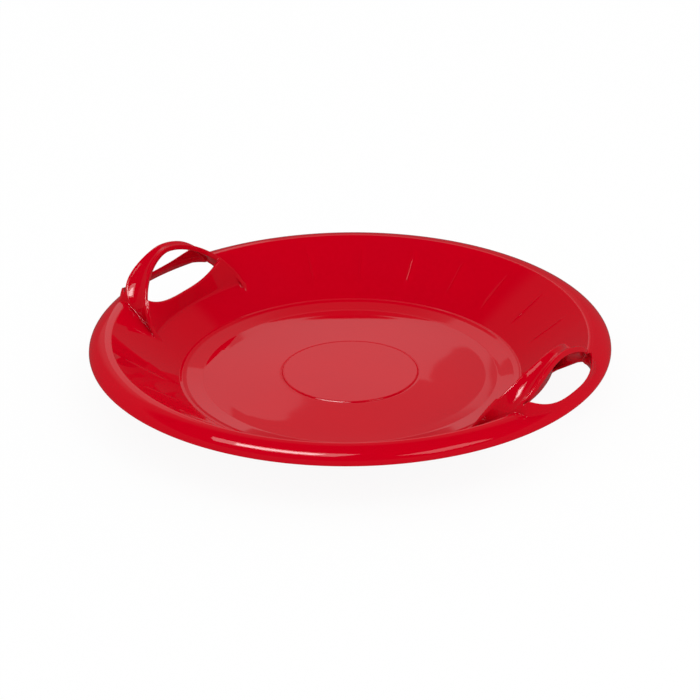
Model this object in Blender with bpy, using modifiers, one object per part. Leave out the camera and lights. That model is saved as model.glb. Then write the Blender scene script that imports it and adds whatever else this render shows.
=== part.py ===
"""Round saucer sled with two moulded hand holds.

The sled lies flat on +Z up, with its origin at the centre of the face it rests on. The rider faces +Y,
and the hand holds are on -X and +X. The dish is a turned shell in two stretches, which part at the crease
between them: the floor, with a solid foot ring under it, and the wall with its lip. Each hand hold is a
moulding that is let into the dish wall: a piece of wall and lip with a hand opening, a channel-shaped grip
arched over the opening, an upstand on the inboard side of the opening and a collar along its outboard side.
"""

import math

import bmesh
import bpy
import numpy as np
from mathutils import Matrix, Vector

# Turned dish: radii set inwards from the rim, heights up from the ground, all on its upper surface
SHELL = 0.003
SEAM = 0.0003
RIM_RADIUS = 0.300
LIP_WIDTH = 0.0264
LIP_DROP = 0.0132
CREST_RADIUS = RIM_RADIUS - LIP_WIDTH
WALL_RUN = 0.0756
WALL_RISE = 0.052
WALL_FOOT_RADIUS = CREST_RADIUS - WALL_RUN
RISE_TOP_HEIGHT = 0.0104
CREASE_LIFT = 0.0011
WALL_FOOT_HEIGHT = RISE_TOP_HEIGHT + CREASE_LIFT
CREST_HEIGHT = WALL_FOOT_HEIGHT + WALL_RISE
CREASE_WIDTH = 0.0077
RISE_TOP_RADIUS = WALL_FOOT_RADIUS - CREASE_WIDTH
RISE_WIDTH = 0.0193
REST_OUTER_RADIUS = RISE_TOP_RADIUS - RISE_WIDTH
REST_WIDTH = 0.014
REST_INNER_RADIUS = REST_OUTER_RADIUS - REST_WIDTH
FLOOR_RADIUS = RISE_TOP_RADIUS + CREASE_WIDTH / 2
DISC_RADIUS = 0.0786
DISC_HEIGHT = 0.0106
DISC_STEP = 0.0008
FLOOR_TOP_HEIGHT = DISC_HEIGHT - DISC_STEP
FLOOR_FALL = 0.0012
FLOOR_RING_HEIGHT = FLOOR_TOP_HEIGHT - FLOOR_FALL
FLOOR_EASE = 2
FLOOR_POINTS = 5
FOOT_DRAFT = 0.0008
LIP_POINTS = 9
TURN_STEPS = 96
MERGE_DISTANCE = 0.00001

# Thin ribs on the wall, fanned about +Y and -Y
RIB_PITCH_DEG = 15
RIBS_EACH_SIDE_OF_MIDDLE = 3
RIB_CREST_MARGIN = 0.0172
RIB_OUTER_RADIUS = CREST_RADIUS - RIB_CREST_MARGIN
RIB_LENGTH = 0.0397
RIB_INNER_RADIUS = RIB_OUTER_RADIUS - RIB_LENGTH
RIB_WIDTH = 0.0022
RIB_HEIGHT = 0.0012

# Grip half span along the side, from which the other half lengths are set
GRIP_HALF_SPAN = 0.0907

# Seam of the hand hold, measured outwards from the middle of the dish and along its side
SEAM_INSET = 0.0446
SEAM_RADIUS = CREST_RADIUS - SEAM_INSET
SEAM_CORNER_INSET = 0.0181
SEAM_CORNER_OUT = CREST_RADIUS - SEAM_CORNER_INSET
SEAM_RIM_MARGIN = 0.005
SEAM_OUT = RIM_RADIUS - SEAM_RIM_MARGIN
SEAM_SIDE_MARGIN = 0.0023
FOOT_HALF_SPAN = GRIP_HALF_SPAN + SEAM_SIDE_MARGIN
SEAM_ARC_POINTS = 17
SEAM_LIP_POINTS = 25

# Hand opening
OPENING_MIDDLE_INSET = 0.0226
OPENING_MIDDLE_OUT = CREST_RADIUS - OPENING_MIDDLE_INSET
COLLAR_WIDTH = 0.0039
OPENING_OUT = SEAM_OUT - COLLAR_WIDTH
OPENING_END_MARGIN = 0.0117
OPENING_HALF_LENGTH = GRIP_HALF_SPAN - OPENING_END_MARGIN
OPENING_ROUNDNESS = 2.4
OPENING_ARC_SHARE = 0.95
OPENING_LIP_POINTS = 33
OPENING_ARC_POINTS = 21

# Upstand between the feet, on an arc of the wall
UPSTAND_SETBACK = 0.0036
UPSTAND_RADIUS = SEAM_RADIUS + UPSTAND_SETBACK
UPSTAND_THICKNESS = 0.0032
UPSTAND_HEIGHT = 0.0197
UPSTAND_SWEEP = 0.0105
UPSTAND_SWEEP_POWER = 3
UPSTAND_LEAN = 0.0022
UPSTAND_END_MARGIN = 0.0032
UPSTAND_HALF_SPAN = GRIP_HALF_SPAN - UPSTAND_END_MARGIN
UPSTAND_JOIN_MARGIN = 0.0277
UPSTAND_JOIN = GRIP_HALF_SPAN - UPSTAND_JOIN_MARGIN
UPSTAND_INSET = 0.001
UPSTAND_LAP = 0.8
UPSTAND_STATIONS = 34

# Grip: an inboard and an outboard edge, each a rounded arch over the opening
GRIP_FOOT_SETBACK = 0.00426
GRIP_FOOT_RADIUS = SEAM_RADIUS + GRIP_FOOT_SETBACK
GRIP_FOOT_LIFT = 0.0012
GRIP_RISE = 0.0685
GRIP_WIDTH = 0.0149
GRIP_TOP_SLANT = 0.0003
INNER_ROUNDNESS = 1.73
INNER_LEAN = 0.67
OUTER_SPAN_STEP = 0.0122
OUTER_HALF_SPAN = GRIP_HALF_SPAN - OUTER_SPAN_STEP
OUTER_FOOT_SINK = 0.0002
OUTER_ROUNDNESS = 1.70
OUTER_TUCK = 0.0112
OUTER_TUCK_POWER = 8
GRIP_DEPTH = 0.0078
GRIP_DISH = 0.0016
GRIP_WEB = 0.0026
GRIP_BORDER = 0.0028
GRIP_BORDER_SLOPE = 1.5
GRIP_STATIONS = 28
FOOT_SINK = 0.006
FOOT_SOLID_STATIONS = 3
FOOT_FADE_STATIONS = 6
FOOT_HOLLOW = 0.0003

# Collar along the outboard side of the opening
COLLAR_LIFT = 0.0003
COLLAR_DEPTH = 0.007
COLLAR_SWEEP = 0.0147
COLLAR_SWEEP_POWER = 3
COLLAR_TIP_LENGTH = 0.0065
COLLAR_HALF_LENGTH = OPENING_HALF_LENGTH - COLLAR_TIP_LENGTH
COLLAR_END_GAP = 0.0006
COLLAR_REACH = OPENING_HALF_LENGTH - COLLAR_END_GAP
COLLAR_OVERLAP = 0.003
COLLAR_OVERLAP_LENGTH = 0.0125
COLLAR_OVERLAP_START = COLLAR_HALF_LENGTH - COLLAR_OVERLAP_LENGTH
COLLAR_END_WIDTH = 0.0025
COLLAR_BEAD = 0.005
COLLAR_BEAD_SHARE = 0.8
COLLAR_TOE_SHARE = 0.985
COLLAR_STATIONS = 36

RED = (0.60, 0.0, 0.012, 1.0)
ROUGHNESS = 0.12
CREASE_ANGLE_DEG = 30


def clear_scene():
    for thing in list(bpy.data.objects):
        bpy.data.objects.remove(thing, do_unlink=True)


def new_collection(name):
    group = bpy.data.collections.new(name)
    bpy.context.scene.collection.children.link(group)
    return group


def glossy_red(name):
    """Hard glossy plastic, one material for each part."""
    material = bpy.data.materials.new(name)
    material.use_nodes = True
    shader = material.node_tree.nodes["Principled BSDF"]
    shader.inputs["Base Color"].default_value = RED
    shader.inputs["Roughness"].default_value = ROUGHNESS
    shader.inputs["Metallic"].default_value = 0.0
    return material


def add_object(name, mesh, group, parent=None):
    thing = bpy.data.objects.new(name, mesh)
    group.objects.link(thing)
    thing.parent = parent
    return thing


def hide_cutter(thing):
    thing.hide_render = True
    thing.display_type = "WIRE"


def combine(target, other, operation):
    """Boolean with the exact solver."""
    modifier = target.modifiers.new(other.name, "BOOLEAN")
    modifier.operation = operation
    modifier.solver = "EXACT"
    modifier.object = other


def floor_height(radius):
    """Floor between the middle disc and the ring over the foot: it falls gently and ends level."""
    share = (radius - DISC_RADIUS) / (REST_INNER_RADIUS - DISC_RADIUS)
    return FLOOR_RING_HEIGHT + FLOOR_FALL * (1 - share) ** FLOOR_EASE


def lip_height(radius):
    """Quarter ellipse from the crest to the outer edge."""
    share = (radius - CREST_RADIUS) / LIP_WIDTH
    return CREST_HEIGHT - LIP_DROP + LIP_DROP * math.sqrt(max(0.0, 1 - share * share))


def wall_height(radius):
    return WALL_FOOT_HEIGHT + WALL_RISE / WALL_RUN * (radius - WALL_FOOT_RADIUS)


def surface_height(radius):
    """Upper surface of the wall and the lip."""
    if radius > CREST_RADIUS:
        return lip_height(radius)
    return wall_height(radius)


def dish_profile():
    """Upper surface from the middle out to the rim, as radius and height."""
    points = [(0.0, DISC_HEIGHT), (DISC_RADIUS, DISC_HEIGHT)]
    for radius in np.linspace(DISC_RADIUS + DISC_STEP, REST_INNER_RADIUS, FLOOR_POINTS):
        points.append((float(radius), floor_height(float(radius))))
    points.append((REST_OUTER_RADIUS, FLOOR_RING_HEIGHT))
    points.append((RISE_TOP_RADIUS, RISE_TOP_HEIGHT))
    points.append((WALL_FOOT_RADIUS, WALL_FOOT_HEIGHT))
    for angle in np.linspace(math.pi / 2, 0, LIP_POINTS):
        out = CREST_RADIUS + LIP_WIDTH * math.cos(angle)
        points.append((out, CREST_HEIGHT - LIP_DROP + LIP_DROP * math.sin(angle)))
    return points


def crease_point(radius):
    """Point of the crease between the rise and the wall, where the floor and the wall part."""
    share = (radius - RISE_TOP_RADIUS) / CREASE_WIDTH
    return radius, RISE_TOP_HEIGHT + CREASE_LIFT * share


def floor_profile():
    """Outline of the floor's section, from the axis out along the top and back along the underside.

    The underside lies a shell's thickness below the top, with a solid foot ring that the sled rests on.
    """
    upper = [point for point in dish_profile() if point[0] <= RISE_TOP_RADIUS]
    lower = [(radius, height - SHELL) for radius, height in upper]
    within = [point for point in lower if point[0] <= REST_INNER_RADIUS]
    beyond = [point for point in lower if point[0] >= REST_OUTER_RADIUS]
    foot = [(REST_INNER_RADIUS + FOOT_DRAFT, 0.0), (REST_OUTER_RADIUS - FOOT_DRAFT, 0.0)]
    tilt = math.atan2(CREASE_LIFT, CREASE_WIDTH)
    edge_radius, edge_height = crease_point(FLOOR_RADIUS)
    edge = [(edge_radius, edge_height)]
    under_edge = [(edge_radius + SHELL * math.sin(tilt), edge_height - SHELL * math.cos(tilt))]
    return upper + edge + under_edge + beyond[::-1] + foot[::-1] + within[::-1]


def wall_profile():
    """The profile's outer stretch, a seam further out."""
    outer = [point for point in dish_profile() if point[0] >= WALL_FOOT_RADIUS]
    return [crease_point(FLOOR_RADIUS + SEAM)] + outer


def turned(name, points, group, parent=None):
    """A profile turned about the vertical axis."""
    mesh = bpy.data.meshes.new(name)
    edges = [(i, i + 1) for i in range(len(points) - 1)]
    mesh.from_pydata([(radius, 0.0, height) for radius, height in points], edges, [])
    shell = add_object(name, mesh, group, parent)
    turn = shell.modifiers.new("turn", "SCREW")
    turn.axis = "Z"
    turn.steps = TURN_STEPS
    turn.render_steps = TURN_STEPS
    turn.use_merge_vertices = True
    turn.merge_threshold = MERGE_DISTANCE
    turn.use_normal_flip = False
    return shell


def turned_shell(name, points, group, parent=None):
    """A profile turned about the vertical axis and thickened downwards."""
    shell = turned(name, points, group, parent)
    thicken = shell.modifiers.new("thickness", "SOLIDIFY")
    thicken.thickness = SHELL
    thicken.offset = -1
    thicken.use_even_offset = True
    return shell


def prism(name, outline, bottom, top, group, parent):
    """Upright solid on a plan outline."""
    body = bmesh.new()
    corners = [body.verts.new((x, y, bottom)) for x, y in outline]
    base = body.faces.new(corners)
    lifted = bmesh.ops.extrude_face_region(body, geom=[base])["geom"]
    raised = [item for item in lifted if isinstance(item, bmesh.types.BMVert)]
    bmesh.ops.translate(body, vec=(0, 0, top - bottom), verts=raised)
    bmesh.ops.recalc_face_normals(body, faces=body.faces)
    mesh = bpy.data.meshes.new(name)
    body.to_mesh(mesh)
    body.free()
    return add_object(name, mesh, group, parent)


def loft(name, rings, group, parent):
    """Closed solid through equal-sized rings of points, capped at both ends."""
    count = len(rings[0])
    body = bmesh.new()
    grid = [[body.verts.new(point) for point in ring] for ring in rings]
    for low, high in zip(grid, grid[1:]):
        for i in range(count):
            j = (i + 1) % count
            body.faces.new((low[i], low[j], high[j], high[i]))
    body.faces.new(grid[0][::-1])
    body.faces.new(grid[-1])
    bmesh.ops.recalc_face_normals(body, faces=body.faces)
    mesh = bpy.data.meshes.new(name)
    body.to_mesh(mesh)
    body.free()
    return add_object(name, mesh, group, parent)


def seam_outline(shrink):
    """Plan of the moulding: an arc on the wall inboard, half an ellipse on the lip outboard."""
    half = FOOT_HALF_SPAN - shrink
    inner = SEAM_RADIUS + shrink
    points = []
    reach = math.asin(half / inner)
    for angle in np.linspace(-reach, reach, SEAM_ARC_POINTS):
        points.append((inner * math.cos(angle), inner * math.sin(angle)))
    for angle in np.linspace(math.pi / 2, -math.pi / 2, SEAM_LIP_POINTS):
        out = SEAM_CORNER_OUT + (SEAM_OUT - shrink - SEAM_CORNER_OUT) * math.cos(angle)
        points.append((out, half * math.sin(angle)))
    return points


def opening_point(angle):
    """Outboard edge of the hand opening in plan, -90 to 90 degrees from end to end."""
    power = 2 / OPENING_ROUNDNESS
    side = math.sin(angle)
    reach = OPENING_OUT - OPENING_MIDDLE_OUT
    out = OPENING_MIDDLE_OUT + reach * max(0.0, math.cos(angle)) ** power
    along = OPENING_HALF_LENGTH * math.copysign(abs(side) ** power, side)
    return out, along


def opening_outline():
    """Plan of the opening: the rounded outboard edge and an arc just behind the upstand."""
    turns = np.linspace(-math.pi / 2, math.pi / 2, OPENING_LIP_POINTS)
    points = [opening_point(angle) for angle in turns]
    inner = UPSTAND_RADIUS + UPSTAND_THICKNESS
    reach = math.asin(OPENING_ARC_SHARE * OPENING_HALF_LENGTH / inner)
    for angle in np.linspace(reach, -reach, OPENING_ARC_POINTS):
        points.append((inner * math.cos(angle), inner * math.sin(angle)))
    return points


def grip_foot_out():
    """Outward place of the inner edge's feet, which stand on an arc of the wall."""
    return math.sqrt(GRIP_FOOT_RADIUS ** 2 - GRIP_HALF_SPAN ** 2)


def grip_foot_height():
    return wall_height(GRIP_FOOT_RADIUS) + GRIP_FOOT_LIFT


def outer_foot_height():
    return CREST_HEIGHT - OUTER_FOOT_SINK


def outer_rise():
    """The outer edge's top lies just under the inner edge's top."""
    return grip_foot_height() + GRIP_RISE - GRIP_TOP_SLANT - outer_foot_height()


def arch_point(half_span, foot_height, rise, roundness, angle):
    """Rounded arch in the upright plane along the side: place along it and height."""
    power = 2 / roundness
    side = math.sin(angle)
    along = half_span * math.copysign(abs(side) ** power, side)
    height = foot_height + rise * max(0.0, math.cos(angle)) ** power
    return along, height


def arch_height(half_span, foot_height, rise, roundness, along):
    """Height of a rounded arch over a place along the side."""
    share = min(1.0, abs(along) / half_span)
    return foot_height + rise * (1 - share ** roundness) ** (1 / roundness)


def inner_out(height):
    """The inner edge lies in a plane that leans outwards."""
    return grip_foot_out() + INNER_LEAN * (height - grip_foot_height())


def inner_edge(angle):
    along, height = arch_point(GRIP_HALF_SPAN, grip_foot_height(), GRIP_RISE, INNER_ROUNDNESS, angle)
    return Vector((inner_out(height), along, height))


def outer_edge(angle):
    along, height = arch_point(OUTER_HALF_SPAN, outer_foot_height(), outer_rise(), OUTER_ROUNDNESS, angle)
    tuck = OUTER_TUCK * (abs(along) / OUTER_HALF_SPAN) ** OUTER_TUCK_POWER
    top_out = inner_out(grip_foot_height() + GRIP_RISE) + GRIP_WIDTH
    return Vector((top_out - tuck, along, height))


def grip_web(station):
    """Distance from the grip's outer face to its hollow: a thin web on top, solid at the feet."""
    from_end = min(station, GRIP_STATIONS - station)
    fade = (from_end - FOOT_SOLID_STATIONS) / (FOOT_FADE_STATIONS - FOOT_SOLID_STATIONS)
    fade = min(1.0, max(0.0, fade))
    solid = GRIP_DEPTH - FOOT_HOLLOW
    return solid + (GRIP_DISH + GRIP_WEB - solid) * fade


def grip_rings():
    """Sections across the grip, dished outside and hollow inside, with the feet run on into the wall."""
    angles = np.linspace(-math.pi / 2, math.pi / 2, GRIP_STATIONS + 1)
    inner = [inner_edge(angle) for angle in angles]
    outer = [outer_edge(angle) for angle in angles]
    last = len(angles) - 1
    rings = []
    for i in range(len(angles)):
        before = max(i - 1, 0)
        after = min(i + 1, last)
        across = (outer[i] - inner[i]).normalized()
        ahead = (inner[after] + outer[after] - inner[before] - outer[before]).normalized()
        inward = ahead.cross(across).normalized()
        dish = inward * GRIP_DISH
        hollow = inward * grip_web(i)
        depth = inward * GRIP_DEPTH
        border = across * GRIP_BORDER
        slope = border * GRIP_BORDER_SLOPE
        ring = [inner[i], inner[i] + slope + dish, outer[i] - slope + dish, outer[i]]
        ring += [outer[i] + depth, outer[i] + depth - border, outer[i] + hollow - border]
        ring += [inner[i] + hollow + border, inner[i] + depth + border, inner[i] + depth]
        rings.append(ring)
    down = Vector((0, 0, -FOOT_SINK))
    rings.insert(0, [point + down for point in rings[0]])
    rings.append([point + down for point in rings[-1]])
    return rings


def collar_top(along):
    """Height of the opening's outboard edge, swept up to the legs and down again along them."""
    share = abs(along) / COLLAR_HALF_LENGTH
    swept = CREST_HEIGHT + COLLAR_LIFT + COLLAR_SWEEP * share ** COLLAR_SWEEP_POWER
    leg = arch_height(OUTER_HALF_SPAN, outer_foot_height(), outer_rise(), OUTER_ROUNDNESS, along)
    return min(swept, leg - SEAM)


def collar_rings():
    """Sections of the collar, from its upright inner face out to its toe on the lip."""
    rings = []
    bottom = CREST_HEIGHT - COLLAR_DEPTH
    limit = math.asin((COLLAR_REACH / OPENING_HALF_LENGTH) ** (OPENING_ROUNDNESS / 2))
    middle = Vector((SEAM_CORNER_OUT, 0.0))
    for angle in np.linspace(-limit, limit, COLLAR_STATIONS + 1):
        out, along = opening_point(angle)
        spot = Vector((out, along))
        outward = (spot - Vector((OPENING_MIDDLE_OUT, 0.0))).normalized()
        toe_angle = math.asin(min(1.0, abs(along) / FOOT_HALF_SPAN))
        toe_out = middle.x + (SEAM_OUT - 2 * SEAM - middle.x) * math.cos(toe_angle)
        toe = Vector((toe_out, along * COLLAR_TOE_SHARE))
        if abs(along) > COLLAR_HALF_LENGTH:
            toe = spot + outward * COLLAR_END_WIDTH
        bead = spot + outward * min(COLLAR_BEAD, COLLAR_BEAD_SHARE * (toe - spot).length)
        end = max(0.0, abs(along) - COLLAR_OVERLAP_START) / (COLLAR_REACH - COLLAR_OVERLAP_START)
        inner = spot - outward * COLLAR_OVERLAP * end
        top = collar_top(along)
        toe_height = surface_height(toe.length)
        rings.append([
            Vector((inner.x, inner.y, top)),
            Vector((bead.x, bead.y, top - SEAM)),
            Vector((toe.x, toe.y, toe_height - SEAM)),
            Vector((toe.x, toe.y, toe_height - SHELL / 2)),
            Vector((bead.x, bead.y, bottom)),
            Vector((inner.x, inner.y, bottom)),
        ])
    return rings


def grip_under_height(along):
    """Lower edge of the grip's inboard side over a place along the side."""
    arch = (GRIP_HALF_SPAN, grip_foot_height(), GRIP_RISE, INNER_ROUNDNESS)
    before = arch_height(*arch, abs(along) - SHELL)
    after = arch_height(*arch, abs(along) + SHELL)
    slope = (before - after) / (2 * SHELL)
    return arch_height(*arch, along) - UPSTAND_LAP * GRIP_DEPTH * math.hypot(1, slope)


def upstand_top(along):
    """Outward place and height of the upstand's top edge."""
    foot = wall_height(UPSTAND_RADIUS)
    share = abs(along) / UPSTAND_JOIN
    swept = foot + UPSTAND_HEIGHT + UPSTAND_SWEEP * share ** UPSTAND_SWEEP_POWER
    under = max(grip_under_height(along), foot)
    if swept < under:
        return UPSTAND_RADIUS + UPSTAND_LEAN, swept
    return inner_out(under) + UPSTAND_INSET, under


def upstand_rings():
    """Sections of the upstand: its foot on an arc of the wall, its top swept up into the legs."""
    rings = []
    sunk = SHELL / 2
    foot = wall_height(UPSTAND_RADIUS) - sunk
    for along in np.linspace(-UPSTAND_HALF_SPAN, UPSTAND_HALF_SPAN, UPSTAND_STATIONS + 1):
        along = float(along)
        top_out, top = upstand_top(along)
        foot_out = math.sqrt(UPSTAND_RADIUS ** 2 - along ** 2)
        rings.append([
            Vector((foot_out, along, foot)),
            Vector((top_out, along, top)),
            Vector((top_out + UPSTAND_THICKNESS, along, top)),
            Vector((foot_out + UPSTAND_THICKNESS + sunk, along, foot + sunk / 2)),
        ])
    return rings


def build_ribs(group):
    """Thin ribs on the wall, each a bar laid on the slope and sunk to its height."""
    body = bmesh.new()
    length = RIB_OUTER_RADIUS - RIB_INNER_RADIUS
    middle = (RIB_OUTER_RADIUS + RIB_INNER_RADIUS) / 2
    slope = math.atan2(WALL_RISE, WALL_RUN)
    size = Matrix.Diagonal((length / math.cos(slope), RIB_WIDTH, 2 * RIB_HEIGHT, 1))
    laid = Matrix.Translation((middle, 0, wall_height(middle))) @ Matrix.Rotation(-slope, 4, "Y")
    for facing in (90, -90):
        for count in range(-RIBS_EACH_SIDE_OF_MIDDLE, RIBS_EACH_SIDE_OF_MIDDLE + 1):
            turn = Matrix.Rotation(math.radians(facing + count * RIB_PITCH_DEG), 4, "Z")
            bmesh.ops.create_cube(body, size=1, matrix=turn @ laid @ size)
    mesh = bpy.data.meshes.new("wall_ribs")
    body.to_mesh(mesh)
    body.free()
    ribs = add_object("wall_ribs", mesh, group)
    hide_cutter(ribs)
    return ribs


def build_under_body(group, parent):
    """The space below the middle of the shell's thickness, which trims the feet of the grip."""
    drop = SHELL / 2
    rim = RIM_RADIUS - drop
    points = [(radius, height - drop) for radius, height in dish_profile() if radius <= CREST_RADIUS]
    points += [(rim, CREST_HEIGHT - drop), (rim, -SHELL), (0.0, -SHELL)]
    mesh = bpy.data.meshes.new("under_body")
    edges = [(i, i + 1) for i in range(len(points) - 1)]
    mesh.from_pydata([(radius, 0.0, height) for radius, height in points], edges, [])
    under = add_object("under_body_" + parent.name, mesh, group, parent)
    turn = under.modifiers.new("turn", "SCREW")
    turn.steps = TURN_STEPS
    turn.render_steps = TURN_STEPS
    turn.use_merge_vertices = True
    turn.merge_threshold = MERGE_DISTANCE
    hide_cutter(under)
    return under


def build_wall(parts, cutters):
    """Wall and lip with their ribs, and a pocket for each hand hold."""
    wall = turned_shell("saucer_wall", wall_profile(), parts)
    combine(wall, build_ribs(cutters), "UNION")
    for side, turn in (("left", math.pi), ("right", 0.0)):
        pocket = prism(side + "_pocket", seam_outline(0.0), -SHELL, 2 * CREST_HEIGHT, cutters, None)
        pocket.rotation_euler.z = turn
        hide_cutter(pocket)
        combine(wall, pocket, "DIFFERENCE")
    return wall


def build_hand_hold(name, turn, parts, cutters):
    """Wall and lip around the opening, with the grip and the collar joined to it."""
    seat = bpy.data.objects.new(name + "_seat", None)
    parts.objects.link(seat)
    seat.rotation_euler.z = turn
    top = 2 * CREST_HEIGHT
    hold = turned_shell(name, dish_profile(), parts, seat)
    plug = prism(name + "_plug", seam_outline(SEAM), -SHELL, top, cutters, seat)
    opening = prism(name + "_opening", opening_outline(), -SHELL, top, cutters, seat)
    grip = loft(name + "_grip", grip_rings(), cutters, seat)
    collar = loft(name + "_collar", collar_rings(), cutters, seat)
    upstand = loft(name + "_upstand", upstand_rings(), cutters, seat)
    under = build_under_body(cutters, seat)
    combine(grip, under, "DIFFERENCE")
    combine(hold, opening, "DIFFERENCE")
    combine(hold, collar, "UNION")
    combine(hold, upstand, "UNION")
    combine(hold, grip, "UNION")
    combine(hold, plug, "INTERSECT")
    for cutter in (plug, opening, grip, collar, upstand):
        hide_cutter(cutter)
    return hold


def finish(thing):
    """Own material and smooth shading with sharp creases."""
    thing.data.materials.append(glossy_red(thing.name + "_plastic"))
    thing.data.shade_smooth()
    thing.data.set_sharp_from_angle(angle=math.radians(CREASE_ANGLE_DEG))


def main():
    clear_scene()
    parts = new_collection("saucer_sled")
    cutters = new_collection("cutters")
    finish(turned("saucer_floor", floor_profile(), parts))
    finish(build_wall(parts, cutters))
    finish(build_hand_hold("left_handle", math.pi, parts, cutters))
    finish(build_hand_hold("right_handle", 0.0, parts, cutters))


main()
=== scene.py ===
# %% [markdown]
# A round saucer sled in glossy red plastic
#
# This lesson dresses a saucer sled. The imported CAD model is the frame: its box and its nodes are what the
# looks have to fit, and it keeps the collisions. The looks are worked out here with numpy, as surfaces on
# grids, and shaded with node materials. Everything is in metres, with +Z up. The rider faces +Y, and the
# hand holds are on -X and +X.
#
# The frame comes first, and the finished looks have to stay inside its box.

# %% Load the frame
import math

import bpy
import numpy as np
from mathutils import Matrix, Vector


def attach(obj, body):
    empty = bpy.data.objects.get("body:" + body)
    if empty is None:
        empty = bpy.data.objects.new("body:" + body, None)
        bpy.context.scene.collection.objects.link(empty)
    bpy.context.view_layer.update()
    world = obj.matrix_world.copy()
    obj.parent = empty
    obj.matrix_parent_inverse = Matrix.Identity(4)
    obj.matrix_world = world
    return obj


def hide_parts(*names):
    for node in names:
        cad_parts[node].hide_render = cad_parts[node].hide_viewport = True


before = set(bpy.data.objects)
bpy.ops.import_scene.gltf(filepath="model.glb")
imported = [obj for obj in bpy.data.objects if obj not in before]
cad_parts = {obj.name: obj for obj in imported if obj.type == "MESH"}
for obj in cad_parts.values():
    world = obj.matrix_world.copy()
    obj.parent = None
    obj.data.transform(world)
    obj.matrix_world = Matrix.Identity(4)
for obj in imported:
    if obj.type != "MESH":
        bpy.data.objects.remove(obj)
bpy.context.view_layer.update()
print("frame nodes:", sorted(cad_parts))

# %% [markdown]
# The dish is a shape turned about its middle, so one profile says it all. From the middle out there is a
# flat raised disc with a shallow groove round it, a floor that falls a little and ends level, a short rise
# with a narrow level ledge that catches a thin line of light, a straight wall, and a lip that rolls over in
# a quarter of an ellipse. The floor is almost flat, which shows in the photograph: the far edge of the wall
# is mirrored in it. Under it is the foot ring, which the sled rests on. The first group of sizes is chosen,
# and the second group follows from it.

# %% Sizes of the dish
SHELL = 0.003
RIM_RADIUS = 0.300
LIP_WIDTH = 0.0264
LIP_DROP = 0.0132
WALL_RUN = 0.0756
WALL_RISE = 0.0520
LEDGE_WIDTH = 0.0032
CREASE_WIDTH = 0.0077
CREASE_LIFT = 0.0011
RISE_WIDTH = 0.0193
RISE_TOP_HEIGHT = 0.0104
REST_WIDTH = 0.014
FOOT_DRAFT = 0.0016
FLOOR_FALL = 0.0018
FLOOR_EASE = 1.3
DISC_RADIUS = 0.0786
DISC_HEIGHT = 0.0106
DISC_STEP = 0.0008

CREST_RADIUS = RIM_RADIUS - LIP_WIDTH
WALL_FOOT_RADIUS = CREST_RADIUS - WALL_RUN
RISE_TOP_RADIUS = WALL_FOOT_RADIUS - CREASE_WIDTH
REST_OUTER_RADIUS = RISE_TOP_RADIUS - RISE_WIDTH
REST_INNER_RADIUS = REST_OUTER_RADIUS - REST_WIDTH
WALL_FOOT_HEIGHT = RISE_TOP_HEIGHT + CREASE_LIFT
CREST_HEIGHT = WALL_FOOT_HEIGHT + WALL_RISE
FLOOR_RING_HEIGHT = DISC_HEIGHT - DISC_STEP - FLOOR_FALL
WALL_SLOPE = WALL_RISE / WALL_RUN


def mix(start, end, share):
    """Straight blend: start at share 0, end at share 1."""
    return start + (end - start) * share


def ease(share):
    """Soft step from 0 to 1: three shares squared less two shares cubed."""
    share = np.clip(share, 0, 1)
    return share * share * (3 - 2 * share)


def lip_height(radius):
    """Quarter ellipse: the drop times the root of one less the squared share of the lip's width."""
    share = np.clip((radius - CREST_RADIUS) / LIP_WIDTH, 0, 1)
    return CREST_HEIGHT - LIP_DROP + LIP_DROP * np.sqrt(1 - share * share)


def dish_height(radius):
    """Height of the upper surface over a distance from the middle, one formula for each stretch."""
    fall = np.clip((radius - DISC_RADIUS) / (REST_INNER_RADIUS - DISC_RADIUS), 0, 1)
    floor = FLOOR_RING_HEIGHT + FLOOR_FALL * (1 - fall) ** FLOOR_EASE
    height = np.where(radius <= DISC_RADIUS, DISC_HEIGHT, floor)
    rise = (radius - REST_OUTER_RADIUS) / (RISE_TOP_RADIUS - REST_OUTER_RADIUS)
    height = np.where(radius > REST_OUTER_RADIUS, mix(FLOOR_RING_HEIGHT, RISE_TOP_HEIGHT, rise), height)
    step = np.clip((radius - RISE_TOP_RADIUS) / (WALL_FOOT_RADIUS - LEDGE_WIDTH - RISE_TOP_RADIUS), 0, 1)
    height = np.where(radius > RISE_TOP_RADIUS, mix(RISE_TOP_HEIGHT, WALL_FOOT_HEIGHT, step), height)
    wall = WALL_FOOT_HEIGHT + WALL_SLOPE * (radius - WALL_FOOT_RADIUS)
    height = np.where(radius > WALL_FOOT_RADIUS, wall, height)
    return np.where(radius > CREST_RADIUS, lip_height(radius), height)


print("height of the crest:", float(dish_height(np.array(CREST_RADIUS))))

# %% [markdown]
# A moulded dish has no knife-sharp corner. The profile is sampled finely and averaged over a short window,
# which rounds each corner by about the window's width. The lip is round already and keeps its own curve.
# Rows are then picked close together where the profile bends and far apart where it is straight, because
# every row costs faces.

# %% Rounded profile of the upper surface
FINE_STEP = 0.0001
CORNER_WINDOW = 0.0006
SMOOTHED_LIP = 0.004
GROOVE_DEPTH = 0.00035
GROOVE_WIDTH = 0.0010
CREST_BEAD_HEIGHT = 0.0001
CREST_BEAD_WIDTH = 0.0011
CREST_BEAD_OUT = 0.0022


def rounded_heights(radius):
    """Heights averaged twice over a window, so that corners turn smoothly."""
    fine = np.arange(0, RIM_RADIUS, FINE_STEP)
    heights = dish_height(fine)
    count = int(CORNER_WINDOW / FINE_STEP) // 2 * 2 + 1
    window = np.ones(count) / count
    padded = np.pad(heights, count, mode="edge")
    smooth = np.convolve(np.convolve(padded, window, "same"), window, "same")[count:-count]
    own_curve = ease((fine - CREST_RADIUS - SMOOTHED_LIP) / SMOOTHED_LIP)
    return np.interp(radius, fine, mix(smooth, heights, own_curve))


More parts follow.
